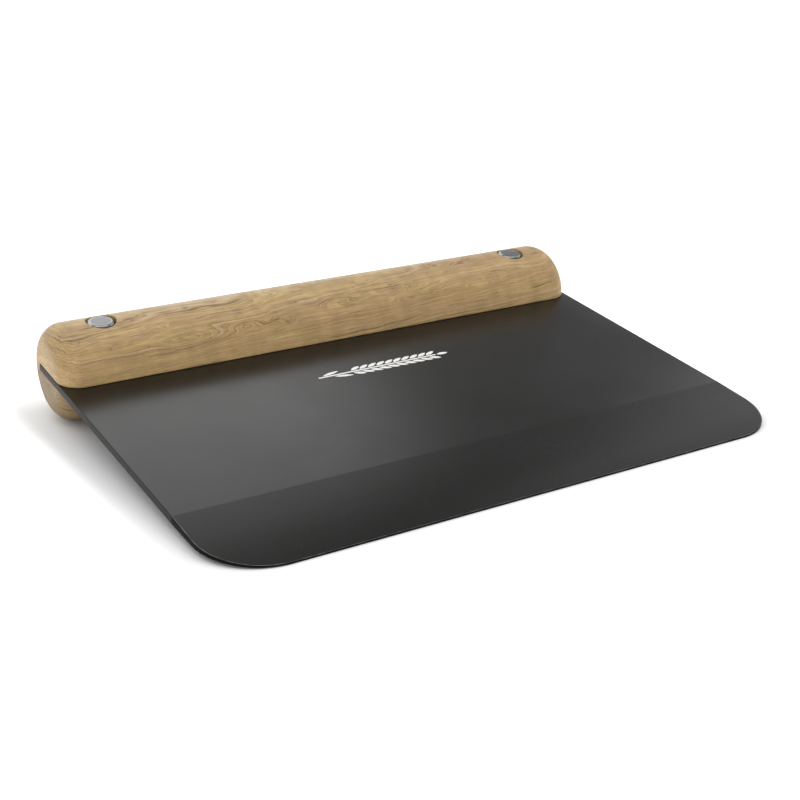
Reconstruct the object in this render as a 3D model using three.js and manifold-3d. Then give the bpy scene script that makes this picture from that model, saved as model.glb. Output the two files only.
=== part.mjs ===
// A dough cutter: a wide steel blade held in the saw kerf of a turned wooden handle by two barrel bolts.
//
// Row frame, in millimetres: +X along the handle to the right, +Y from the cutting edge towards the handle, +Z up.
// The cutter lies as it does on a worktop, on the underside of the handle and on the cutting edge, so the blade
// slopes down to the front. The origin is on the worktop, under the middle of the bounding box.
//
// The pieces are made flat, in the tool's own frame: the handle's axis is the x axis, the middle of the blade's
// thickness is the plane z = 0, and y runs from the cutting edge to the handle. One group then tilts them all.

import * as THREE from "three";
import { mergeVertices } from "three/addons/utils/BufferGeometryUtils.js";
import Module from "manifold-3d";

const wasm = await Module();
wasm.setup();

// Handle: a dowel with rounded ends.
const HANDLE_LENGTH = 200;
const HANDLE_RADIUS = 16;
const HANDLE_END_ROUND = 7.4;

// Blade: ground on both faces to a thin cutting edge. Reach and tang are measured from the handle's axis.
const BLADE_WIDTH = HANDLE_LENGTH; // its sides are flush with the handle's ends
const BLADE_THICKNESS = 2.4;
const BLADE_REACH = 129;
const BLADE_CORNER_RADIUS = 19.6;
const BEVEL_LENGTH = 32.2;
const EDGE_THICKNESS = 0.6;
const TANG_BACK = 6.6;

// Barrel bolts: a smooth-headed barrel nut from above meets a socket screw from below.
const BOLT_SPACING = 163;
const BOLT_X = { left: -BOLT_SPACING / 2, right: BOLT_SPACING / 2 };
const HEAD_RADIUS = 4.6;
const HEAD_FLAT_RADIUS = 3.3;
const HEAD_SHOULDER_DROP = 1.1;
const HEAD_THICKNESS = 2.5;
const HEAD_INSET = 0.3; // the head's flat lies just inside the round of the handle
const HEAD_TOP = HANDLE_RADIUS - HEAD_INSET;
const COUNTERBORE_RADIUS = 5;
const BARREL_RADIUS = 2.9;
const BARREL_END = -9; // z of the barrel's open end
const BARREL_BORE_TOP = 6;
const SCREW_RADIUS = 1.75;
const SCREW_TIP = 4; // z of the screw's end, inside the barrel
const SCREW_TIP_CHAMFER = 0.5;
const SOCKET_ACROSS_FLATS = 2.5;
const SOCKET_DEPTH = 1.6;

// Clearance between pieces that touch: the blade in its kerf, the heads on their seats, the barrels in their
// holes and the screws in the barrels.
const GAP = 0.3;

// Facets: how finely the round shapes are cut up.
const HANDLE_FACETS = 72;
const HANDLE_ROUND_STEPS = 7;
const BOLT_FACETS = 32;
const HEAD_ROUND_STEPS = 4;
const CORNER_STEPS = 14;
const CUT_MARGIN = 2; // how far a cutting tool runs past the face that it cuts

// The slope at which the cutting edge and the handle's underside meet one worktop, and how far the cutting edge
// then lies in front of the handle's axis.
const EDGE_HALF = EDGE_THICKNESS / 2;
const TILT =
  Math.asin(HANDLE_RADIUS / Math.hypot(BLADE_REACH, EDGE_HALF)) - Math.atan(EDGE_HALF / BLADE_REACH);
const FRONT_REACH = BLADE_REACH * Math.cos(TILT) + EDGE_HALF * Math.sin(TILT);

const WOOD = new THREE.MeshStandardMaterial({ color: 0xb99c6c, roughness: 0.55, metalness: 0 });
const COATED_STEEL = new THREE.MeshStandardMaterial({ color: 0x33312f, roughness: 0.4, metalness: 0.3 });
const BARE_STEEL = new THREE.MeshStandardMaterial({ color: 0xb4b4b4, roughness: 0.35, metalness: 1 });

// A three.js geometry as a manifold-3d solid, and back.
function solid(geometry) {
  const bare = geometry.clone();
  bare.deleteAttribute("normal");
  bare.deleteAttribute("uv");
  const merged = mergeVertices(bare, 1e-4);
  return new wasm.Manifold(
    new wasm.Mesh({
      numProp: 3,
      vertProperties: merged.attributes.position.array,
      triVerts: new Uint32Array(merged.index.array),
    }),
  );
}

function geometry(manifold) {
  const mesh = manifold.getMesh();
  return new THREE.BufferGeometry()
    .setAttribute("position", new THREE.BufferAttribute(mesh.vertProperties, 3))
    .setIndex(new THREE.BufferAttribute(mesh.triVerts, 1));
}

// A quarter of an ellipse about (x, y) as profile points, from one angle to another.
function quarter(x, y, radiusX, radiusY, from, steps) {
  return Array.from({ length: steps + 1 }, (_, i) => {
    const angle = from + (Math.PI / 2) * (i / steps);
    return new THREE.Vector2(x + radiusX * Math.cos(angle), y + radiusY * Math.sin(angle));
  });
}

// A profile turned about the z axis: its points are (radius, z), from the lowest to the highest.
function turned(points, facets) {
  return new THREE.LatheGeometry(points, facets).rotateX(Math.PI / 2);
}

// A round cutting tool along z, at x, from one height to another.
function drill(x, radius, low, high) {
  return solid(
    new THREE.CylinderGeometry(radius, radius, high - low, BOLT_FACETS)
      .rotateX(Math.PI / 2)
      .translate(x, 0, (low + high) / 2),
  );
}

// The dowel's facets are turned back by the tilt, so that one row of their corners stands on the worktop.
function makeDowel() {
  const half = HANDLE_LENGTH / 2;
  const straight = half - HANDLE_END_ROUND;
  const flat = HANDLE_RADIUS - HANDLE_END_ROUND;
  const round = [HANDLE_END_ROUND, HANDLE_END_ROUND];
  const profile = [
    new THREE.Vector2(0, -half),
    ...quarter(flat, -straight, ...round, -Math.PI / 2, HANDLE_ROUND_STEPS),
    ...quarter(flat, straight, ...round, 0, HANDLE_ROUND_STEPS),
    new THREE.Vector2(0, half),
  ];
  return solid(turned(profile, HANDLE_FACETS).rotateY(Math.PI / 2).rotateX(-TILT));
}

// The kerf is open at the front and at both ends, and closed behind the tang.
function makeHandle() {
  const outside = HANDLE_RADIUS + CUT_MARGIN;
  const kerfBack = TANG_BACK + GAP;
  const kerf = solid(
    new THREE.BoxGeometry(
      HANDLE_LENGTH + 2 * CUT_MARGIN,
      kerfBack + outside,
      BLADE_THICKNESS + 2 * GAP,
    ).translate(0, (kerfBack - outside) / 2, 0),
  );
  const seat = HEAD_TOP - HEAD_THICKNESS - GAP;
  let body = makeDowel().subtract(kerf);
  for (const x of Object.values(BOLT_X)) {
    body = body
      .subtract(drill(x, BARREL_RADIUS + GAP, -outside, outside))
      .subtract(drill(x, COUNTERBORE_RADIUS, seat, outside))
      .subtract(drill(x, COUNTERBORE_RADIUS, -outside, -seat));
  }
  return geometry(body);
}

// The blade's outline seen from above: square at the tang, round at the two front corners.
function bladeOutline() {
  const half = BLADE_WIDTH / 2;
  const cornerX = half - BLADE_CORNER_RADIUS;
  const cornerY = BLADE_CORNER_RADIUS - BLADE_REACH;
  const outline = new THREE.Shape();
  outline.moveTo(-half, TANG_BACK);
  outline.lineTo(-half, cornerY);
  outline.absarc(-cornerX, cornerY, BLADE_CORNER_RADIUS, Math.PI, 1.5 * Math.PI, false);
  outline.lineTo(cornerX, -BLADE_REACH);
  outline.absarc(cornerX, cornerY, BLADE_CORNER_RADIUS, 1.5 * Math.PI, 2 * Math.PI, false);
  outline.lineTo(half, TANG_BACK);
  outline.closePath();
  return outline;
}

// The blade's section along y and z, run on past the cutting edge at the bevel's slope.
function bladeSection() {
  const slope = (BLADE_THICKNESS - EDGE_THICKNESS) / 2 / BEVEL_LENGTH;
  const half = BLADE_THICKNESS / 2;
  const front = -BLADE_REACH - CUT_MARGIN;
  const frontHalf = EDGE_HALF - slope * CUT_MARGIN;
  const bevelBack = -BLADE_REACH + BEVEL_LENGTH;
  const back = TANG_BACK + CUT_MARGIN;
  return new THREE.Shape([
    new THREE.Vector2(front, -frontHalf),
    new THREE.Vector2(bevelBack, -half),
    new THREE.Vector2(back, -half),
    new THREE.Vector2(back, half),
    new THREE.Vector2(bevelBack, half),
    new THREE.Vector2(front, frontHalf),
  ]);
}

function makeBlade() {
  const stock = BLADE_THICKNESS + 2 * CUT_MARGIN;
  const plate = solid(
    new THREE.ExtrudeGeometry(bladeOutline(), {
      depth: stock,
      bevelEnabled: false,
      curveSegments: CORNER_STEPS,
    }).translate(0, 0, -stock / 2),
  );
  const width = BLADE_WIDTH + 2 * CUT_MARGIN;
  const wedge = solid(
    new THREE.ExtrudeGeometry(bladeSection(), { depth: width, bevelEnabled: false })
      .rotateX(Math.PI / 2)
      .rotateZ(Math.PI / 2)
      .translate(-width / 2, 0, 0),
  );
  let blade = plate.intersect(wedge);
  for (const x of Object.values(BOLT_X)) {
    blade = blade.subtract(drill(x, BARREL_RADIUS + GAP, -stock, stock));
  }
  return geometry(blade);
}

// The half profile of a bolt's head: up from its seat, round the shoulder and in to the middle of its flat top.
function headProfile() {
  const shoulder = [HEAD_RADIUS - HEAD_FLAT_RADIUS, HEAD_SHOULDER_DROP];
  return [
    new THREE.Vector2(HEAD_RADIUS, HEAD_TOP - HEAD_THICKNESS),
    ...quarter(HEAD_FLAT_RADIUS, HEAD_TOP - HEAD_SHOULDER_DROP, ...shoulder, 0, HEAD_ROUND_STEPS),
    new THREE.Vector2(0, HEAD_TOP),
  ];
}

function makeBarrelNut() {
  const bore = SCREW_RADIUS + GAP;
  const profile = [
    new THREE.Vector2(0, BARREL_BORE_TOP),
    new THREE.Vector2(bore, BARREL_BORE_TOP),
    new THREE.Vector2(bore, BARREL_END),
    new THREE.Vector2(BARREL_RADIUS, BARREL_END),
    new THREE.Vector2(BARREL_RADIUS, HEAD_TOP - HEAD_THICKNESS),
    ...headProfile(),
  ];
  return turned(profile, BOLT_FACETS);
}

// The screw is made head up, with a six-sided socket in the head.
function makeScrew() {
  const profile = [
    new THREE.Vector2(0, -SCREW_TIP),
    new THREE.Vector2(SCREW_RADIUS - SCREW_TIP_CHAMFER, -SCREW_TIP),
    new THREE.Vector2(SCREW_RADIUS, -SCREW_TIP + SCREW_TIP_CHAMFER),
    new THREE.Vector2(SCREW_RADIUS, HEAD_TOP - HEAD_THICKNESS),
    ...headProfile(),
  ];
  const cornerRadius = SOCKET_ACROSS_FLATS / 2 / Math.cos(Math.PI / 6);
  const socket = solid(
    new THREE.CylinderGeometry(cornerRadius, cornerRadius, SOCKET_DEPTH + CUT_MARGIN, 6)
      .rotateX(Math.PI / 2)
      .translate(0, 0, HEAD_TOP + (CUT_MARGIN - SOCKET_DEPTH) / 2),
  );
  return geometry(solid(turned(profile, BOLT_FACETS)).subtract(socket));
}

function named(name, shape, material) {
  const mesh = new THREE.Mesh(shape, material);
  mesh.name = name;
  return mesh;
}

const tool = new THREE.Group();
tool.rotation.x = TILT;
tool.position.set(0, (FRONT_REACH - HANDLE_RADIUS) / 2, HANDLE_RADIUS);
tool.add(named("handle", makeHandle(), WOOD));
tool.add(named("blade", makeBlade(), COATED_STEEL));

for (const [side, x] of Object.entries(BOLT_X)) {
  const nut = named(`${side}_barrel_nut`, makeBarrelNut(), BARE_STEEL);
  nut.position.x = x;
  const screw = named(`${side}_socket_screw`, makeScrew(), BARE_STEEL);
  screw.position.x = x;
  screw.rotation.x = Math.PI; // in from below
  tool.add(nut, screw);
}

const doughCutter = new THREE.Group();
doughCutter.add(tool);

export default doughCutter;
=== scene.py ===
"""The looks of a dough cutter: its handle, blade, bolts and printed mark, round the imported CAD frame.

Everything is in metres. The pieces are made flat, in the tool's own frame, and one matrix lays them down
as the cutter rests on a worktop. In the tool's own frame the handle's axis is the x axis, the middle of
the blade's thickness is the plane z = 0, and y runs from the cutting edge to the handle.
"""

import math

import bmesh
import bpy
from mathutils import Matrix, Vector


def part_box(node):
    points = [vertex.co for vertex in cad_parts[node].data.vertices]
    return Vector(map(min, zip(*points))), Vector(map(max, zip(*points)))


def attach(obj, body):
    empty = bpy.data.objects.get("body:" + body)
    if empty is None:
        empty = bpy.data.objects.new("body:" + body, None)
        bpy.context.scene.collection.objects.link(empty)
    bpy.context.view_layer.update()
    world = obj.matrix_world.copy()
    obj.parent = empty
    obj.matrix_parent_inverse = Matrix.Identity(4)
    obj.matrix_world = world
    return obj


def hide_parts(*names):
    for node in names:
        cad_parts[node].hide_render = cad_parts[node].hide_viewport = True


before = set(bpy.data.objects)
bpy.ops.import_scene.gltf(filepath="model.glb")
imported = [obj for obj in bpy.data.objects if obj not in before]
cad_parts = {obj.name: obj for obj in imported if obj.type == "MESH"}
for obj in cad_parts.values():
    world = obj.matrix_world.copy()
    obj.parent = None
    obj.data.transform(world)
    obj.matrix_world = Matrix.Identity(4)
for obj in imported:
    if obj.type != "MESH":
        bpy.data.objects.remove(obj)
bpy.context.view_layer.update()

MM = 0.001

# Sizes that the frame gives.
handle_low, handle_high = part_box("handle")
_, blade_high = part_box("blade")
bolt_low, bolt_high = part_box("right_barrel_nut")
HANDLE_HALF = handle_high.x
HANDLE_RADIUS = (handle_high.z - handle_low.z) / 2
BLADE_HALF = blade_high.x
BOLT_X = (bolt_low.x + bolt_high.x) / 2
HEAD_RADIUS = (bolt_high.x - bolt_low.x) / 2

# Handle. The kerf is closer to the blade than the CAD clearance, as it is on a real tool.
END_ROUND = 7.4 * MM
KERF_HALF = 1.25 * MM
KERF_BACK = 6.7 * MM
KERF_ROUND = 0.3 * MM
COUNTERBORE_RADIUS = 4.95 * MM
COUNTERBORE_ROUND = 0.3 * MM
SEAT = 13.1 * MM
SHAFT_HOLE_RADIUS = 3.05 * MM

# Blade.
BLADE_THICKNESS = 2.4 * MM
BLADE_REACH = 129 * MM
BLADE_CORNER_RADIUS = 19.6 * MM
BEVEL_LENGTH = 32.2 * MM
EDGE_THICKNESS = 0.6 * MM
TANG_BACK = 6.6 * MM
RIM_WIDTH = 0.25 * MM
RIM_DROP = 0.15 * MM

# Bolts.
HEAD_TOP = 15.7 * MM
HEAD_FLAT_RADIUS = 3.3 * MM
HEAD_SHOULDER_DROP = 1.1 * MM
HEAD_THICKNESS = 2.5 * MM
HEAD_FOOT_ROUND = 0.25 * MM
BARREL_RADIUS = 2.9 * MM
BARREL_END = -9 * MM
BARREL_BORE_RADIUS = 2.05 * MM
BARREL_BORE_TOP = 6 * MM
SCREW_RADIUS = 1.95 * MM
SCREW_TIP = -4 * MM
SCREW_TIP_CHAMFER = 0.5 * MM
SOCKET_ACROSS_FLATS = 2.5 * MM
SOCKET_DEPTH = 1.6 * MM
SOCKET_CHAMFER = 0.15 * MM

# How finely the shapes are cut up: first along the handle, from its middle to an end, then round its
# section, from the kerf's roof over the front and the crown to the back, and then the rest.
MIDDLE_STEPS = 16
OUTER_STEPS = 3
END_STEPS = 20
ROOF_STEPS = 4
LIP_STEPS = 4
FRONT_STEPS = 20
BACK_STEPS = 22
ROUND_STEPS = 5
CORNER_STEPS = 40
TURNED_CORNERS = 96
HEAD_FOOT_STEPS = 3
SHOULDER_STEPS = 8
SHARP_ANGLE = math.radians(40)

# Each bolt's hole is let into a square patch of the handle's grid at the crown, and into one in the kerf's
# roof. A patch's rim is followed from its first corner, by its angle about the bolt. The shares say how far
# each ring between a rim and the hole is from square to round.
PATCH_CELLS = 16
PATCH_HALF = 6.7 * MM
PATCH_ANGLE = math.radians(24)
KERF_PATCH_HALF = 5.5 * MM
FIRST_CORNER = -0.75 * math.pi
ANGLE_SLACK = 1e-4
CROWN_SHARES = (0.35, 0.7)
KERF_SHARES = (1.0, 0.5)

# The tilt at which the cutting edge and the handle's underside meet one worktop.
EDGE_HALF = EDGE_THICKNESS / 2
EDGE_DISTANCE = math.hypot(BLADE_REACH, EDGE_HALF)
TILT = math.asin(HANDLE_RADIUS / EDGE_DISTANCE) - math.atan(EDGE_HALF / BLADE_REACH)
AXIS = (handle_low + handle_high) / 2
TOOL = Matrix.Translation(AXIS) @ Matrix.Rotation(TILT, 4, "X")


def spaced(start, end, steps):
    """Even steps from start to end, both included."""
    return [start + (end - start) * i / steps for i in range(steps + 1)]


# --------------------------------------------------------------------------------------------------
# Materials
# --------------------------------------------------------------------------------------------------

# Where a mix node keeps its sockets for colours.
MIX_FACTOR = 0
MIX_FIRST = 6
MIX_SECOND = 7
MIX_RESULT = 2


class Graph:
    """A material's node tree, with a method for each kind of node that the materials are made of."""

    def __init__(self, name):
        self.material = bpy.data.materials.new(name)
        self.material.use_nodes = True
        self.tree = self.material.node_tree
        self.shader = self.tree.nodes["Principled BSDF"]

    def set(self, socket, value):
        """Links or sets an input."""
        if isinstance(value, bpy.types.NodeSocket):
            self.tree.links.new(value, socket)
        else:
            socket.default_value = value

    def node(self, kind, inputs, output=0, **settings):
        """Adds a node and returns one of its outputs."""
        made = self.tree.nodes.new(kind)
        for key, value in settings.items():
            setattr(made, key, value)
        for key, value in inputs.items():
            self.set(made.inputs[key], value)
        return made.outputs[output]

    def math(self, operation, *values):
        return self.node("ShaderNodeMath", dict(enumerate(values)), operation=operation)

    def vector(self, operation, *values, output=0):
        return self.node("ShaderNodeVectorMath", dict(enumerate(values)), output, operation=operation)

    def length(self, vector):
        return self.vector("LENGTH", vector, output="Value")

    def noise(self, place, detail, roughness=0.5):
        """Noise from 0 to 1 that is mostly near 0.5."""
        inputs = {"Vector": place, "Scale": 1.0, "Detail": detail, "Roughness": roughness}
        return self.node("ShaderNodeTexNoise", inputs)

    def strata(self, value, scale, detail):
        """Noise along one value, for layers that follow it."""
        inputs = {"W": value, "Scale": scale, "Detail": detail}
        return self.node("ShaderNodeTexNoise", inputs, noise_dimensions="1D")

    def between(self, value, low, high, to_low=0.0, to_high=1.0, smooth=True):
        """value taken from low..high to to_low..to_high, and held there."""
        kind = "SMOOTHSTEP" if smooth else "LINEAR"
        inputs = {"Value": value, "From Min": low, "From Max": high, "To Min": to_low, "To Max": to_high}
        return self.node("ShaderNodeMapRange", inputs, interpolation_type=kind)

    def mix(self, factor, first, second, blend="MIX"):
        """first where factor is 0, and where it is 1 second, or first times second."""
        inputs = {MIX_FACTOR: factor, MIX_FIRST: first, MIX_SECOND: second}
        return self.node("ShaderNodeMix", inputs, MIX_RESULT, data_type="RGBA", blend_type=blend)

    def bump(self, height, distance, strength=1.0):
        inputs = {"Height": height, "Distance": distance, "Strength": strength}
        return self.node("ShaderNodeBump", inputs)

    def place(self, *scale):
        """The place in the tool's own frame in millimetres, times scale along x, y and z."""
        here = self.node("ShaderNodeTexCoord", {}, "Object")
        from_axis = self.vector("SUBTRACT", here, tuple(AXIS))
        inputs = {"Vector": from_axis, "Angle": -TILT}
        flat = self.node("ShaderNodeVectorRotate", inputs, rotation_type="X_AXIS")
        return self.vector("MULTIPLY", flat, tuple(s / MM for s in scale))

    def parts(self, vector):
        """A vector's x, y and z."""
        inputs = {"Vector": vector}
        x = self.node("ShaderNodeSeparateXYZ", inputs)
        return x, x.node.outputs["Y"], x.node.outputs["Z"]

    def finish(self, **inputs):
        """Sets the shader's own inputs, whose names are given with _ for a space."""
        for key, value in inputs.items():
            self.set(self.shader.inputs[key.replace("_", " ")], value)
        return self.material


# --------------------------------------------------------------------------------------------------
# Pieces
# --------------------------------------------------------------------------------------------------


def add_piece(name, bm, material, slot, *nodes):
    """A finished piece from its mesh, laid down with the tool, in place of CAD nodes."""
    bmesh.ops.recalc_face_normals(bm, faces=bm.faces)
    mesh = bpy.data.meshes.new(name)
    bm.to_mesh(mesh)
    bm.free()
    mesh.set_sharp_from_angle(angle=SHARP_ANGLE)
    mesh.materials.append(material)
    mesh.transform(TOOL)
    piece = bpy.data.objects.new(name, mesh)
    bpy.context.scene.collection.objects.link(piece)
    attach(piece, "root")
    if nodes:
        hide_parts(*nodes)
    return piece


def new_loop(bm, points):
    return [bm.verts.new(p) for p in points]


def bridge(bm, first, second):
    """A smooth strip of quads between two loops of as many corners."""
    for i in range(len(first)):
        j = (i + 1) % len(first)
        bm.faces.new((first[i], first[j], second[j], second[i])).smooth = True


def round_over(width, drop, steps):
    """A quarter ellipse that turns a face down into a wall: (way in from the wall, drop below the face)."""
    turns = spaced(0, math.pi / 2, steps)
    return [(width * (1 - math.sin(a)), drop * (1 - math.cos(a))) for a in turns]


# --------------------------------------------------------------------------------------------------
# Handle
# --------------------------------------------------------------------------------------------------


def handle_stations():
    """The places along the handle where its section is drawn, closer together at the bolts and ends."""
    straight = HANDLE_HALF - END_ROUND
    patch = spaced(BOLT_X - PATCH_HALF, BOLT_X + PATCH_HALF, PATCH_CELLS)
    ends = [straight + END_ROUND * math.sin(a) for a in spaced(0, math.pi / 2, END_STEPS)]
    right = spaced(0, patch[0], MIDDLE_STEPS)[:-1]
    right += patch + spaced(patch[-1], straight, OUTER_STEPS)[1:-1] + ends
    return [-x for x in reversed(right[1:])] + right


def handle_section(x):
    """The section's upper half at x as (y, z): along the kerf's roof, round its lip, over to the back."""
    past_straight = max(abs(x) - (HANDLE_HALF - END_ROUND), 0)
    radius = HANDLE_RADIUS - END_ROUND + math.sqrt(max(END_ROUND**2 - past_straight**2, 0))
    past_flat = max(abs(x) - (HANDLE_HALF - KERF_ROUND), 0)
    flare = KERF_ROUND - math.sqrt(max(KERF_ROUND**2 - past_flat**2, 0))
    roof = KERF_HALF + flare
    lip_z = roof + KERF_ROUND
    lip_y = -math.sqrt((radius - KERF_ROUND) ** 2 - lip_z**2)
    lip_angle = math.atan2(lip_z, -lip_y)
    along_roof = [KERF_BACK + flare]
    along_roof += spaced(KERF_PATCH_HALF, -KERF_PATCH_HALF, PATCH_CELLS)
    along_roof += spaced(-KERF_PATCH_HALF, lip_y, ROOF_STEPS)[1:]
    lip = spaced(-math.pi / 2, lip_angle, LIP_STEPS)[1:]
    patch_start = math.pi / 2 - PATCH_ANGLE
    patch_end = math.pi / 2 + PATCH_ANGLE
    over = spaced(lip_angle, patch_start, FRONT_STEPS)[1:]
    over += spaced(patch_start, patch_end, PATCH_CELLS)[1:]
    over += spaced(patch_end, math.pi, BACK_STEPS)[1:]
    return (
        [(y, roof) for y in along_roof]
        + [(lip_y - KERF_ROUND * math.cos(a), lip_z + KERF_ROUND * math.sin(a)) for a in lip]
        + [(-radius * math.cos(a), radius * math.sin(a)) for a in over]
    )


def patch_rim(grid, columns, rows, bolt_x, half_y):
    """The corners round a square patch of the grid, in order of their angle about the bolt."""
    rim = set()
    for i in columns:
        rim |= {grid[i][rows[0]], grid[i][rows[-1]]}
    for j in rows:
        rim |= {grid[columns[0]][j], grid[columns[-1]][j]}

    def turn(v):
        angle = math.atan2(v.co.y / half_y, (v.co.x - bolt_x) / PATCH_HALF)
        return (angle - FIRST_CORNER + ANGLE_SLACK) % (2 * math.pi)

    return sorted(rim, key=turn)


def bolt_ring(bm, rim, bolt_x, radius, height, share=1.0):
    """A ring about a bolt with a corner for each of the rim's. share 0 is the rim and 1 is the circle."""
    points = []
    for k, v in enumerate(rim):
        angle = 2 * math.pi * k / len(rim) + FIRST_CORNER
        x = bolt_x + radius * math.cos(angle)
        y = radius * math.sin(angle)
        x += (v.co.x - x) * (1 - share)
        y += (v.co.y - y) * (1 - share)
        points.append((x, y, height(y)))
    return new_loop(bm, points)


def open_bolt_hole(bm, outer_rim, kerf_rim, bolt_x, side):
    """One half of a bolt's hole: a softened counterbore, its seat, and the shaft hole down to the kerf."""

    def surface(y, drop=0.0):
        return side * (math.sqrt(HANDLE_RADIUS**2 - y**2) - drop)

    rounding = round_over(COUNTERBORE_ROUND, COUNTERBORE_ROUND, ROUND_STEPS)
    outside = COUNTERBORE_RADIUS + COUNTERBORE_ROUND
    rings = [outer_rim]
    rings += [bolt_ring(bm, outer_rim, bolt_x, outside, surface, share) for share in CROWN_SHARES]
    for inward, drop in rounding:
        radius = COUNTERBORE_RADIUS + inward
        rings.append(bolt_ring(bm, outer_rim, bolt_x, radius, lambda y: surface(y, drop)))
    rings.append(bolt_ring(bm, outer_rim, bolt_x, COUNTERBORE_RADIUS, lambda y: side * SEAT))
    rings.append(bolt_ring(bm, outer_rim, bolt_x, SHAFT_HOLE_RADIUS, lambda y: side * SEAT))
    for share in KERF_SHARES:
        rings.append(bolt_ring(bm, kerf_rim, bolt_x, SHAFT_HOLE_RADIUS, lambda y: side * KERF_HALF, share))
    rings.append(kerf_rim)
    for first, second in zip(rings, rings[1:]):
        bridge(bm, first, second)


def handle_mesh():
    """The turned bar: a grid of stations along it by corners round its section, with the holes let in."""
    bm = bmesh.new()
    stations = handle_stations()
    grid = []
    for x in stations:
        upper = handle_section(x)
        lower = [(y, -z) for y, z in reversed(upper[:-1])]
        grid.append(new_loop(bm, [(x, y, z) for y, z in upper + lower]))
    upper_count = len(upper)
    corner_count = len(grid[0])

    kerf_rows = list(range(1, PATCH_CELLS + 2))
    crown_start = 1 + PATCH_CELLS + ROOF_STEPS + LIP_STEPS + FRONT_STEPS
    crown_rows = list(range(crown_start, crown_start + PATCH_CELLS + 1))

    def mirrored(rows):
        return [2 * upper_count - 2 - j for j in reversed(rows)]

    left_out = set()
    for bolt_x in (-BOLT_X, BOLT_X):
        first = min(range(len(stations)), key=lambda i: abs(stations[i] - (bolt_x - PATCH_HALF)))
        columns = list(range(first, first + PATCH_CELLS + 1))
        sides = [(1, crown_rows, kerf_rows), (-1, mirrored(crown_rows), mirrored(kerf_rows))]
        for side, outer_rows, roof_rows in sides:
            for rows in (outer_rows, roof_rows):
                left_out |= {(i, j) for i in columns[:-1] for j in rows[:-1]}
            crown_half = HANDLE_RADIUS * math.sin(PATCH_ANGLE)
            outer_rim = patch_rim(grid, columns, outer_rows, bolt_x, crown_half)
            kerf_rim = patch_rim(grid, columns, roof_rows, bolt_x, KERF_PATCH_HALF)
            open_bolt_hole(bm, outer_rim, kerf_rim, bolt_x, side)

    for i in range(len(stations) - 1):
        for j in range(corner_count):
            if (i, j) in left_out:
                continue
            k = (j + 1) % corner_count
            bm.faces.new((grid[i][j], grid[i][k], grid[i + 1][k], grid[i + 1][j])).smooth = True
    bm.faces.new(grid[0])
    bm.faces.new(grid[-1])
    bm.verts.index_update()
    loose = [v for v in bm.verts if not v.link_faces]
    bmesh.ops.delete(bm, geom=loose, context="VERTS")
    return bm


# Knots and swirls that the grain flows round. Each has its distance from the handle's left end, its angle
# over the handle from the front in degrees (90 is the top), its length along the handle, its width across
# it, how far it lifts the rings, and how dark its heart is. The lengths are in millimetres.
KNOTS = (
    (46, 40, 17, 3.6, 3.0, 0.0),
    (51, 35, 2.2, 1.0, -0.6, 0.75),
    (65, 43, 8, 2.6, -1.6, 0.0),
    (80, 37, 5, 2.4, 1.4, 0.45),
    (99, 53, 8, 3.2, -2.0, 0.2),
    (101, 51, 2.4, 1.1, 0.6, 0.7),
    (37, 58, 3.4, 1.6, 1.0, 0.4),
    (17, 42, 2.0, 1.0, 0.6, 0.85),
    (73, 72, 4, 2.6, 1.0, 0.35),
    (47, 85, 2.5, 1.6, 0.7, 0.5),
    (110, 80, 2.4, 1.8, 0.8, 0.7),
    (116, 78, 1.8, 1.3, 0.6, 0.45),
    (135, 72, 3, 1.6, 0.9, 0.5),
    (161, 42, 13, 2.8, 2.2, 0.0),
    (166, 28, 1.4, 2.4, 0.5, 0.6),
    (173, 80, 2.0, 3, 0.7, 0.45),
    (128, 44, 9, 2.4, -1.2, 0.0),
    (88, 140, 16, 3.6, 2.4, 0.25),
    (140, 200, 14, 3.6, 2.2, 0.35),
    (40, 235, 12, 3.2, -1.8, 0.35),
)

# The pith runs beside the bar: the angle on the section that it is opposite, its distance from the axis in
# millimetres, how far it leans from the bar's length, and how little the rings change along it.
PITH_ANGLE = math.radians(102)
PITH_OFFSET = 26
PITH_LEAN = math.radians(2.8)
ALONG_PITH = 0.01

# How far the rings wander and ripple, in millimetres, and how closely their bands, lines and streaks follow
# one another.
WANDER = 3.0
RIPPLE = 0.6
BANDS_PER_MM = 0.62
LINES_PER_MM = 1.05
STREAKS_PER_MM = 3.4

WOOD_PALE = (0.46, 0.322, 0.138, 1)
WOOD_WARM = (0.43, 0.29, 0.136, 1)
WOOD_BROWN = (0.31, 0.2, 0.092, 1)
WOOD_CREAM = (0.56, 0.42, 0.235, 1)
WOOD_STREAK = (0.26, 0.16, 0.07, 1)
WOOD_LINE = (0.13, 0.07, 0.028, 1)
WOOD_HEART = (0.12, 0.066, 0.027, 1)


def around(angle, radius):
    """A place on the handle's section, in millimetres, at an angle over it from the front."""
    return (0, -radius * math.cos(angle), radius * math.sin(angle))


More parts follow.
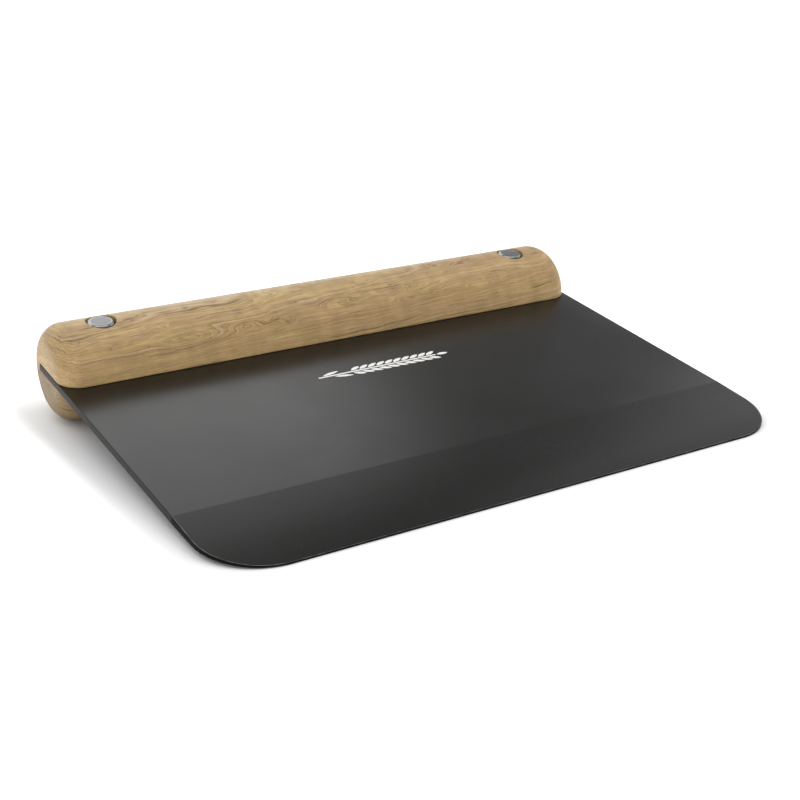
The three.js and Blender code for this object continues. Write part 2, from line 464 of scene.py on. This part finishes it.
def wood():
    """Pale knotty hardwood: rings about a pith that runs beside the bar, bent round knots and swirls."""
    g = Graph("wood")
    p = g.place(1, 1, 1)

    wander = g.noise(g.place(0.02, 0.11, 0.11), detail=2)
    ripple = g.noise(g.place(0.07, 0.5, 0.5), detail=3)
    _, up_y, up_z = around(PITH_ANGLE, 1)
    turned = {"Vector": p, "Axis": (0, up_z, -up_y), "Angle": PITH_LEAN}
    leaning = g.node("ShaderNodeVectorRotate", turned, rotation_type="AXIS_ANGLE")
    across = g.vector("MULTIPLY", leaning, (ALONG_PITH, 1, 1))
    pith = around(PITH_ANGLE + math.pi, PITH_OFFSET)
    ring = g.length(g.vector("SUBTRACT", across, pith))
    ring = g.math("ADD", ring, g.between(wander, 0, 1, -WANDER, WANDER, smooth=False))
    ring = g.math("ADD", ring, g.between(ripple, 0, 1, -RIPPLE, RIPPLE, smooth=False))
    hearts = 0.0
    near_knot = 0.0
    for from_left, degrees, length, width, lift, dark in KNOTS:
        _, y, z = around(math.radians(degrees), HANDLE_RADIUS / MM)
        offset = g.vector("SUBTRACT", p, (from_left - HANDLE_HALF / MM, y, z))
        away = g.length(g.vector("DIVIDE", offset, (length, width, width)))
        ring = g.math("ADD", ring, g.between(away, 0, 1, lift, 0))
        hearts = g.math("MAXIMUM", hearts, g.between(away, 0.05, 0.32, dark, 0))
        near_knot = g.math("MAXIMUM", near_knot, g.between(away, 0.5, 1.6, 0.45, 0))

    # Growth rings: broad soft bands, and thin dark lines that come and go along them.
    bands = g.strata(ring, BANDS_PER_MM, detail=3)
    lines = g.strata(ring, LINES_PER_MM, detail=1)
    lines = g.math("ABSOLUTE", g.math("SUBTRACT", lines, 0.5))
    fade = g.noise(g.place(0.045, 0.16, 0.16), detail=2)
    shown = g.math("MAXIMUM", near_knot, g.between(fade, 0.42, 0.62, 0.12, 1))
    lines = g.math("MULTIPLY", g.between(lines, 0.006, 0.035, 1, 0), shown)
    streaks = g.strata(ring, STREAKS_PER_MM, detail=4)

    # Fibres, pores, flecks and faint smudges across the grain.
    fibre = g.noise(g.place(0.07, 1.9, 1.9), detail=5, roughness=0.65)
    pores = g.between(g.noise(g.place(0.4, 4, 4), detail=2), 0.62, 0.72)
    flecks = g.between(g.noise(g.place(0.16, 2.4, 2.4), detail=3), 0.58, 0.68)
    smudge = g.noise(g.place(0.22, 0.12, 0.12), detail=3)
    tone = g.noise(g.place(0.012, 0.17, 0.17), detail=2)

    colour = g.mix(g.between(tone, 0.4, 0.6), WOOD_PALE, WOOD_WARM)
    colour = g.mix(g.between(bands, 0.38, 0.62, 0, 0.55), colour, WOOD_BROWN)
    colour = g.mix(g.between(bands, 0.6, 0.72, 0, 0.5), colour, WOOD_CREAM)
    colour = g.mix(g.between(streaks, 0.38, 0.64, 0, 0.36), colour, WOOD_STREAK)
    colour = g.mix(g.math("MULTIPLY", lines, 0.7), colour, WOOD_LINE)
    colour = g.mix(g.math("MULTIPLY", hearts, 0.8), colour, WOOD_HEART)

    # Darker in the fibres, smudges, flecks and pores. Painted shade darkens the underside, and painted
    # light brightens the wood just above the kerf, fading a little towards the top.
    shade = g.between(fibre, 0.3, 0.7, 0.82, 1.13, smooth=False)
    shade = g.math("MULTIPLY", shade, g.between(smudge, 0.35, 0.65, 0.92, 1.05))
    shade = g.math("MULTIPLY", shade, g.between(flecks, 0, 1, 1, 0.78))
    shade = g.math("MULTIPLY", shade, g.between(pores, 0, 1, 1, 0.76))
    _, _, height = g.parts(p)
    # Painted shade below the kerf and painted light just above it.
    shade = g.math("MULTIPLY", shade, g.between(height, -3, 1, 0.66, 1.22))
    shade = g.math("MULTIPLY", shade, g.between(height, 2, 9, 1, 0.84))
    colour = g.mix(1.0, colour, shade, "MULTIPLY")

    roughness = g.between(fibre, 0.3, 0.7, 0.5, 0.4)
    relief = g.math("SUBTRACT", fibre, g.math("ADD", lines, pores))
    bump = g.bump(relief, 0.03 * MM, strength=0.8)
    return g.finish(Base_Color=colour, Roughness=roughness, Specular_IOR_Level=0.38, Normal=bump)


# --------------------------------------------------------------------------------------------------
# Blade
# --------------------------------------------------------------------------------------------------

BEVEL_BACK = BEVEL_LENGTH - BLADE_REACH

# The blade's material slots after the first, which is for its flat faces and its holes.
SIDE_EDGE, BEVEL, HIGHLIT_LIP, CUTTING_EDGE = range(1, 5)

COATING_WARM = (0.0062, 0.0056, 0.0048, 1)
COATING_COOL = (0.0052, 0.0054, 0.0052, 1)
COATING_SMUDGE = (0.0105, 0.0105, 0.01, 1)
COATING_SPECK = (0.022, 0.022, 0.021, 1)
EDGE_DARK = (0.005, 0.0046, 0.004, 1)
EDGE_LIGHT = (0.009, 0.0088, 0.0083, 1)
# The lip's bare steel: a painted highlight along the cutting edge's rim.
LIP_HIGHLIGHT_DIM = (0.14, 0.14, 0.14, 1)
LIP_HIGHLIGHT_BRIGHT = (0.34, 0.34, 0.33, 1)


def blade_face(y):
    """How high the blade's upper face is at y: level, then falling along the bevel."""
    slope = (BLADE_THICKNESS - EDGE_THICKNESS) / 2 / BEVEL_LENGTH
    return BLADE_THICKNESS / 2 - slope * max(BEVEL_BACK - y, 0)


def blade_outline(inset):
    """The outline drawn in by inset, as (x, y) from the tang's left end round the front to its right."""
    side = BLADE_HALF - inset
    radius = BLADE_CORNER_RADIUS - inset
    centre_x = BLADE_HALF - BLADE_CORNER_RADIUS
    centre_y = BLADE_CORNER_RADIUS - BLADE_REACH
    back = TANG_BACK - inset
    left = [(-side, back), (-side, BEVEL_BACK)]
    for a in spaced(math.pi, 1.5 * math.pi, CORNER_STEPS):
        left.append((-centre_x + radius * math.cos(a), centre_y + radius * math.sin(a)))
    return left + [(-x, y) for x, y in reversed(left)]


def blade_mesh():
    """The plate: two flat faces with bevels, joined by a softened rim, and the holes for the bolts."""
    bm = bmesh.new()
    rim = []
    for inward, drop in round_over(RIM_WIDTH, RIM_DROP, ROUND_STEPS):
        outline = blade_outline(inward)
        rim.append([(x, y, blade_face(y) - drop) for x, y in outline])
    upper = [new_loop(bm, points) for points in rim]
    lower = [new_loop(bm, [(x, y, -z) for x, y, z in points]) for points in reversed(rim)]
    loops = upper + lower
    for first, second in zip(loops, loops[1:]):
        bridge(bm, first, second)
    lip = set(loops[0] + loops[1])
    for face in bm.faces:
        if face.calc_center_median().y > BEVEL_BACK:
            face.material_index = SIDE_EDGE
        elif lip.issuperset(face.verts):
            face.material_index = HIGHLIT_LIP
        else:
            face.material_index = CUTTING_EDGE

    hole_loops = {1: [], -1: []}
    for bolt_x in (-BOLT_X, BOLT_X):
        radius = SHAFT_HOLE_RADIUS
        turns = spaced(0, 2 * math.pi, TURNED_CORNERS // 2)[:-1]
        circle = [(bolt_x + radius * math.cos(a), radius * math.sin(a)) for a in turns]
        for side in hole_loops:
            hole_loops[side].append(new_loop(bm, [(x, y, side * BLADE_THICKNESS / 2) for x, y in circle]))
        bridge(bm, hole_loops[1][-1], hole_loops[-1][-1])

    for side, loop in ((1, loops[0]), (-1, loops[-1])):
        bm.faces.new(loop[1:-1]).material_index = BEVEL
        pairs = [(loop[1], loop[-2]), (loop[0], loop[1]), (loop[-2], loop[-1]), (loop[-1], loop[0])]
        for hole in hole_loops[side]:
            pairs += [(hole[i - 1], hole[i]) for i in range(len(hole))]
        edges = [bm.edges.get(pair) for pair in pairs]
        bmesh.ops.triangle_fill(bm, edges=edges, use_beauty=True)
    return bm


def edge_coating(name, specular):
    """The coating on the sheared edge, where it is thin and matt over fine drag lines."""
    g = Graph(name)
    drag = g.noise(g.place(4, 4, 0.3), detail=3)
    colour = g.mix(drag, EDGE_DARK, EDGE_LIGHT)
    bump = g.bump(drag, 0.006 * MM)
    return g.finish(Base_Color=colour, Roughness=0.5, Specular_IOR_Level=specular, Normal=bump)


def black_coating(name, roughness, specular):
    """A black non-stick coating: satin, very finely pebbled and slightly cloudy."""
    g = Graph(name)
    clouds = g.noise(g.place(0.04, 0.04, 0.04), detail=4, roughness=0.6)
    wipes = g.noise(g.place(0.1, 0.18, 0.18), detail=5, roughness=0.7)
    pebbles = g.noise(g.place(2.2, 2.2, 2.2), detail=2)
    specks = g.between(g.noise(g.place(1.4, 1.4, 1.4), detail=0), 0.78, 0.84)
    smudges = g.between(wipes, 0.5, 0.8)

    colour = g.mix(clouds, COATING_WARM, COATING_COOL)
    colour = g.mix(g.math("MULTIPLY", smudges, 0.15), colour, COATING_SMUDGE)
    colour = g.mix(g.math("MULTIPLY", specks, 0.4), colour, COATING_SPECK)
    dullness = g.between(clouds, 0.3, 0.7, roughness, roughness + 0.04)
    dullness = g.math("ADD", dullness, g.math("MULTIPLY", smudges, 0.015))
    bump = g.bump(pebbles, 0.004 * MM)
    return g.finish(Base_Color=colour, Roughness=dullness, Specular_IOR_Level=specular, Normal=bump)


def lip_highlight():
    """Bare steel along the lip of the cutting edge, lighter than the coating: a painted highlight that
    shows as a fine bright line on the rim.
    """
    g = Graph("lip_highlight_steel")
    # Mottling within the lip's painted highlight.
    ink_wear_and_lip_mottle = g.noise(g.place(0.3, 0.3, 0.3), detail=4)
    colour = g.mix(g.between(ink_wear_and_lip_mottle, 0.35, 0.65), LIP_HIGHLIGHT_DIM, LIP_HIGHLIGHT_BRIGHT)
    return g.finish(Base_Color=colour, Metallic=1.0, Roughness=0.35)


def add_blade():
    """The blade, with its materials in the order of their slots."""
    coating = black_coating("blade_coating", roughness=0.2, specular=0.28)
    blade = add_piece("coated_blade", blade_mesh(), coating, "blade_coating", "blade")
    slots = blade.data.materials
    slots.append(edge_coating("side_edge_coating", specular=0.2))
    slots.append(black_coating("bevel_coating", roughness=0.24, specular=0.18))
    slots.append(lip_highlight())
    slots.append(edge_coating("cutting_edge_coating", specular=0.04))


# --------------------------------------------------------------------------------------------------
# Printed ornament
# --------------------------------------------------------------------------------------------------

EAR_CENTRE = Vector((2, -39.6)) * MM
EAR_LENGTH = 50 * MM
STEM_WIDTH = 0.7 * MM
GRAIN_PAIRS = 10
GRAIN_PITCH = 3.3 * MM
GRAIN_LENGTH = 4.4 * MM
GRAIN_WIDTH = 1.5 * MM
GRAIN_LEAN = math.radians(24)
GRAIN_GAP = 0.5 * MM
GRAIN_FULLNESS = 0.75
LEAF_LENGTH = 6.6 * MM
LEAF_WIDTH = 1.3 * MM
LEAF_LEAN = GRAIN_LEAN / 2

# Each leaf's side of the stem, and where it starts as a share of the ear's length.
LEAVES = ((1, 0.04), (-1, 0.11))

# How far the print goes into the blade and stands on it.
PRINT_BELOW = 0.01 * MM
PRINT_ABOVE = 0.03 * MM
PRINT_STEPS = 10

INK_DULL = (0.7, 0.7, 0.67, 1)
INK_BRIGHT = (0.82, 0.82, 0.8, 1)
INK_WORN = (0.3, 0.3, 0.29, 1)


def print_shape(bm, outline):
    """A thin closed plate on the blade's upper face."""
    top = new_loop(bm, [(x, y, BLADE_THICKNESS / 2 + PRINT_ABOVE) for x, y in outline])
    bottom = new_loop(bm, [(x, y, BLADE_THICKNESS / 2 - PRINT_BELOW) for x, y in outline])
    bridge(bm, top, bottom)
    bm.faces.new(top)
    bm.faces.new(bottom)


def grain_outline(x, y, angle, length, width):
    """A grain: an almond from its foot at (x, y), pointed at both ends."""
    along = spaced(0, 1, PRINT_STEPS)
    edge = [(t * length, width / 2 * math.sin(math.pi * t) ** GRAIN_FULLNESS) for t in along]
    edge += [(t, -w) for t, w in reversed(edge[1:-1])]
    cosine, sine = math.cos(angle), math.sin(angle)
    return [(x + t * cosine - w * sine, y + t * sine + w * cosine) for t, w in edge]


def wheat_ear_mesh():
    """A plain ear of wheat that lies along the blade: a stem, two leaves and paired grains."""
    bm = bmesh.new()
    left = EAR_CENTRE.x - EAR_LENGTH / 2
    right = EAR_CENTRE.x + EAR_LENGTH / 2
    middle = EAR_CENTRE.y
    tip = right - GRAIN_LENGTH
    half = STEM_WIDTH / 2
    near, far = middle - half, middle + half
    print_shape(bm, [(left, near), (tip, near), (tip, far), (left, far)])
    print_shape(bm, grain_outline(tip + GRAIN_GAP, middle, 0, GRAIN_LENGTH, GRAIN_WIDTH))
    for i in range(GRAIN_PAIRS):
        x = tip - GRAIN_PITCH * (i + 1)
        for side in (-1, 1):
            y = middle + side * (half + GRAIN_GAP)
            print_shape(bm, grain_outline(x, y, side * GRAIN_LEAN, GRAIN_LENGTH, GRAIN_WIDTH))
    for side, start in LEAVES:
        x = left + start * EAR_LENGTH
        y = middle + side * (half + GRAIN_GAP)
        print_shape(bm, grain_outline(x, y, side * LEAF_LEAN, LEAF_LENGTH, LEAF_WIDTH))
    return bm


def white_print():
    """Matt white ink, slightly mottled and worn thin in specks."""
    g = Graph("printed_mark")
    mottle = g.noise(g.place(1.2, 1.2, 1.2), detail=4)
    ink_wear_and_lip_mottle = g.between(g.noise(g.place(5, 5, 5), detail=2), 0.68, 0.78)
    colour = g.mix(mottle, INK_DULL, INK_BRIGHT)
    colour = g.mix(g.math("MULTIPLY", ink_wear_and_lip_mottle, 0.5), colour, INK_WORN)
    return g.finish(Base_Color=colour, Roughness=0.5, Normal=g.bump(mottle, 0.004 * MM))


# --------------------------------------------------------------------------------------------------
# Bolts
# --------------------------------------------------------------------------------------------------

STEEL_DARK = (0.18, 0.185, 0.195, 1)
STEEL_LIGHT = (0.21, 0.21, 0.215, 1)
SHOULDER_HIGHLIGHT = (0.25, 0.25, 0.25, 1)
STEEL_SCUFF = (0.6, 0.6, 0.6, 1)
FLAT_ROUGHNESS = 0.38
SHOULDER_ROUGHNESS = 0.18
RINGS_PER_MM = 9


def turned_mesh(profile, side, bolt_x):
    """Turns a profile of (radius, z) about a bolt's axis. Gives a mesh with open ends, and its loops."""
    bm = bmesh.new()
    turns = spaced(0, 2 * math.pi, TURNED_CORNERS)[:-1]
    loops = []
    for radius, z in profile:
        points = [(bolt_x + radius * math.cos(a), radius * math.sin(a), side * z) for a in turns]
        loops.append(new_loop(bm, points))
    for first, second in zip(loops, loops[1:]):
        bridge(bm, first, second)
    return bm, loops


def head_profile():
    """A bolt head's half profile, from its seat round the shoulder to the edge of its flat top."""
    seat = HEAD_TOP - HEAD_THICKNESS
    rounding = round_over(HEAD_FOOT_ROUND, HEAD_FOOT_ROUND, HEAD_FOOT_STEPS)
    foot = [(HEAD_RADIUS - inward, seat + drop) for inward, drop in rounding]
    rounding = round_over(HEAD_RADIUS - HEAD_FLAT_RADIUS, HEAD_SHOULDER_DROP, SHOULDER_STEPS)
    shoulder = [(HEAD_RADIUS - inward, HEAD_TOP - drop) for inward, drop in reversed(rounding)]
    return foot + shoulder


def barrel_nut(name, node, bolt_x, material):
    """A headed barrel with a blind bore from below: the profile goes down the bore and up the outside."""
    profile = [
        (BARREL_BORE_RADIUS, BARREL_BORE_TOP),
        (BARREL_BORE_RADIUS, BARREL_END),
        (BARREL_RADIUS, BARREL_END),
        (BARREL_RADIUS, HEAD_TOP - HEAD_THICKNESS),
        *head_profile(),
    ]
    bm, loops = turned_mesh(profile, 1, bolt_x)
    bm.faces.new(loops[0])
    bm.faces.new(loops[-1])
    add_piece(name, bm, material, "fastener_steel", node)


def socket_screw(name, node, bolt_x, material):
    """A headed screw from below, with a hexagon socket in its head."""
    profile = [
        (SCREW_RADIUS - SCREW_TIP_CHAMFER, SCREW_TIP),
        (SCREW_RADIUS, SCREW_TIP + SCREW_TIP_CHAMFER),
        (SCREW_RADIUS, HEAD_TOP - HEAD_THICKNESS),
        *head_profile(),
    ]
    bm, loops = turned_mesh(profile, -1, bolt_x)
    bm.faces.new(loops[0])

    def hexagon(grow, z):
        """A loop round the socket, which has a corner every 60 degrees."""
        points = []
        for a in spaced(0, 2 * math.pi, TURNED_CORNERS)[:-1]:
            from_flat = (a + math.pi / 6) % (math.pi / 3) - math.pi / 6
            reach = (SOCKET_ACROSS_FLATS / 2 + grow) / math.cos(from_flat)
            points.append((bolt_x + reach * math.cos(a), reach * math.sin(a), -z))
        return new_loop(bm, points)

    rings = [loops[-1], hexagon(SOCKET_CHAMFER, HEAD_TOP), hexagon(0, HEAD_TOP - SOCKET_CHAMFER)]
    rings.append(hexagon(0, HEAD_TOP - SOCKET_DEPTH))
    for first, second in zip(rings, rings[1:]):
        bridge(bm, first, second)
    bm.faces.new(rings[-1])
    add_piece(name, bm, material, "fastener_steel", node)


def bare_steel():
    """Turned steel: fine rings about each bolt's axis, a few scuffs, and a slightly uneven polish."""
    g = Graph("fastener_steel")
    x, y, z = g.parts(g.place(1, 1, 1))
    from_bolt = g.math("SUBTRACT", g.math("ABSOLUTE", x), BOLT_X / MM)
    radius = g.math("SQRT", g.math("ADD", g.math("POWER", from_bolt, 2), g.math("POWER", y, 2)))
    turning = g.strata(g.math("ADD", radius, z), RINGS_PER_MM, detail=3)
    polish = g.noise(g.place(0.5, 0.5, 0.5), detail=4)
    scuffs = g.between(g.noise(g.place(0.7, 9, 9), detail=2), 0.62, 0.72)
    shoulder = g.between(radius, HEAD_FLAT_RADIUS / MM - 0.1, HEAD_FLAT_RADIUS / MM + 0.1)

    colour = g.mix(polish, STEEL_DARK, STEEL_LIGHT)
    # The shoulder's lighter colour is a painted highlight on its rounding; its smoother finish is its own.
    colour = g.mix(shoulder, colour, SHOULDER_HIGHLIGHT)
    colour = g.mix(g.math("MULTIPLY", scuffs, 0.35), colour, STEEL_SCUFF)
    roughness = g.between(turning, 0.3, 0.7, -0.04, 0.04)
    roughness = g.math("ADD", roughness, g.math("MULTIPLY", scuffs, 0.12))
    faced = g.between(shoulder, 0, 1, FLAT_ROUGHNESS, SHOULDER_ROUGHNESS)
    roughness = g.math("ADD", faced, roughness)
    bump = g.bump(g.math("SUBTRACT", turning, scuffs), 0.0012 * MM)
    return g.finish(Base_Color=colour, Metallic=1.0, Roughness=roughness, Normal=bump)


# --------------------------------------------------------------------------------------------------
# Camera, floor and lights
# --------------------------------------------------------------------------------------------------

# The camera, in the tool's own frame: where it stands, how far it turns to the right, how far it looks up,
# and how far both are tilted about the tool's x axis. Its lens is in millimetres.
CAMERA_PLACE = Vector((-227.4, -387.17, 197.5)) * MM
CAMERA_YAW = math.radians(32.473)
CAMERA_PITCH = math.radians(-20.344)
CAMERA_TILT = math.radians(-7.534)
CAMERA_LENS = 61.977


def add_camera():
    data = bpy.data.cameras.new("camera")
    data.lens = CAMERA_LENS
    data.clip_start = 0.01
    data.clip_end = 50
    camera = bpy.data.objects.new("camera", data)
    bpy.context.scene.collection.objects.link(camera)
    aim = Matrix.Rotation(-CAMERA_YAW, 4, "Z") @ Matrix.Rotation(math.pi / 2 + CAMERA_PITCH, 4, "X")
    tilted = Matrix.Rotation(CAMERA_TILT, 4, "X") @ aim
    camera.matrix_world = TOOL @ Matrix.Translation(CAMERA_PLACE) @ tilted
    bpy.context.scene.camera = camera


# The floor, half the cutter's length and depth, and how far from that the floor's two glows grow, and how
# strong they get. The near glow is painted light, which lifts the cutter's shadow past its first
# millimetres.
FLOOR_HALF = 20
FOOTPRINT = (0.1, 0.072, 0)
GLOW_NEAR = (0.004, 0.016)
GLOW_FAR = (0.2, 1.1)
NEAR_STRENGTH = 0.5
FAR_STRENGTH = 0.1
FLOOR_WHITE = (0.88, 0.88, 0.88, 1)
WHITE = (1, 1, 1, 1)

# The world's strength as it lights the cutter, and as the camera sees it.
WORLD_LIGHT = 0.36
WORLD_SEEN = 1.1


def add_floor():
    """A white floor that glows: painted light that leaves the cutter's contact shadow dark, lifts the rest
    of its shadow from a few millimetres out, and grows a little more far off, so that the floor stays
    white.
    """
    bm = bmesh.new()
    corners = ((-1, -1), (1, -1), (1, 1), (-1, 1))
    bm.faces.new(new_loop(bm, [(x * FLOOR_HALF, y * FLOOR_HALF, 0) for x, y in corners]))
    mesh = bpy.data.meshes.new("floor")
    bm.to_mesh(mesh)
    bm.free()
    floor = bpy.data.objects.new("floor", mesh)
    bpy.context.scene.collection.objects.link(floor)
    g = Graph("floor")
    here = g.node("ShaderNodeTexCoord", {}, "Object")
    beyond = g.vector("SUBTRACT", g.vector("ABSOLUTE", here), FOOTPRINT)
    away = g.length(g.vector("MAXIMUM", beyond, (0, 0, 0)))
    # The near glow is painted light that lifts the cutter's shadow; the far glow keeps the floor white.
    near = g.between(away, *GLOW_NEAR, 0, NEAR_STRENGTH)
    far = g.between(away, *GLOW_FAR, 0, FAR_STRENGTH)
    glow = g.math("ADD", near, far)
    white = g.finish(Base_Color=FLOOR_WHITE, Roughness=1.0, Emission_Color=WHITE, Emission_Strength=glow)
    mesh.materials.append(white)


def add_light(name, azimuth, elevation, distance, wide, tall, power, mirrored=True, fade=0.0):
    """A softbox that faces the cutter. Azimuth 0 is beyond the handle (+Y) and 90 is to the right (+X).

    fade is the share of its width over which it dims to nothing at its right end. Unless it is mirrored,
    it lights the cutter without showing in it.
    """
    data = bpy.data.lights.new(name, "AREA")
    data.shape = "RECTANGLE"
    data.size = wide
    data.size_y = tall
    data.energy = power
    if fade:
        data.use_nodes = True
        nodes, links = data.node_tree.nodes, data.node_tree.links
        geometry = nodes.new("ShaderNodeNewGeometry")
        across = nodes.new("ShaderNodeSeparateXYZ")
        links.new(geometry.outputs["Parametric"], across.inputs[0])
        dim = nodes.new("ShaderNodeMapRange")
        dim.interpolation_type = "SMOOTHSTEP"
        links.new(across.outputs["X"], dim.inputs["Value"])
        dim.inputs["From Max"].default_value = fade
        links.new(dim.outputs["Result"], nodes["Emission"].inputs["Strength"])
    light = bpy.data.objects.new(name, data)
    bpy.context.scene.collection.objects.link(light)
    a, e = math.radians(azimuth), math.radians(elevation)
    way = Vector((math.sin(a) * math.cos(e), math.cos(a) * math.cos(e), math.sin(e)))
    light.location = way * distance
    light.rotation_mode = "QUATERNION"
    light.rotation_quaternion = way.to_track_quat("Z", "Y")
    light.visible_camera = False
    light.visible_glossy = mirrored


def add_world():
    """An even white world that is brighter where the camera sees it, so that the backdrop is white."""
    world = bpy.data.worlds.new("world")
    world.use_nodes = True
    nodes, links = world.node_tree.nodes, world.node_tree.links
    background = nodes["Background"]
    background.inputs["Color"].default_value = WHITE
    path = nodes.new("ShaderNodeLightPath")
    pick = nodes.new("ShaderNodeMix")
    links.new(path.outputs["Is Camera Ray"], pick.inputs["Factor"])
    pick.inputs["A"].default_value = WORLD_LIGHT
    pick.inputs["B"].default_value = WORLD_SEEN
    links.new(pick.outputs["Result"], background.inputs["Strength"])
    bpy.context.scene.world = world


# --------------------------------------------------------------------------------------------------
# The cutter
# --------------------------------------------------------------------------------------------------

add_camera()
add_floor()
add_world()
add_light("overhead", azimuth=0, elevation=88, distance=2.4, wide=2.6, tall=1.9, power=23)
add_light("key", azimuth=100, elevation=55, distance=1.6, wide=1.0, tall=1.0, power=6, mirrored=False)
add_light("left_back", azimuth=-17, elevation=39, distance=1.6, wide=3.4, tall=0.95, power=17, fade=0.15)
add_light("right_back", azimuth=79, elevation=37, distance=1.6, wide=1.3, tall=0.9, power=3)
add_light("backdrop", azimuth=20, elevation=8, distance=2.2, wide=3.0, tall=0.5, power=8)
add_light("front", azimuth=200, elevation=6, distance=1.6, wide=1.2, tall=0.8, power=15, mirrored=False)
bpy.context.scene.view_settings.view_transform = "Standard"

steel = bare_steel()
add_piece("turned_handle", handle_mesh(), wood(), "wood", "handle")
add_blade()
add_piece("printed_wheat_ear", wheat_ear_mesh(), white_print(), "printed_mark")
for side, x in (("left", -BOLT_X), ("right", BOLT_X)):
    barrel_nut(f"{side}_barrel_nut_turned", f"{side}_barrel_nut", x, steel)
    socket_screw(f"{side}_socket_screw_turned", f"{side}_socket_screw", x, steel)
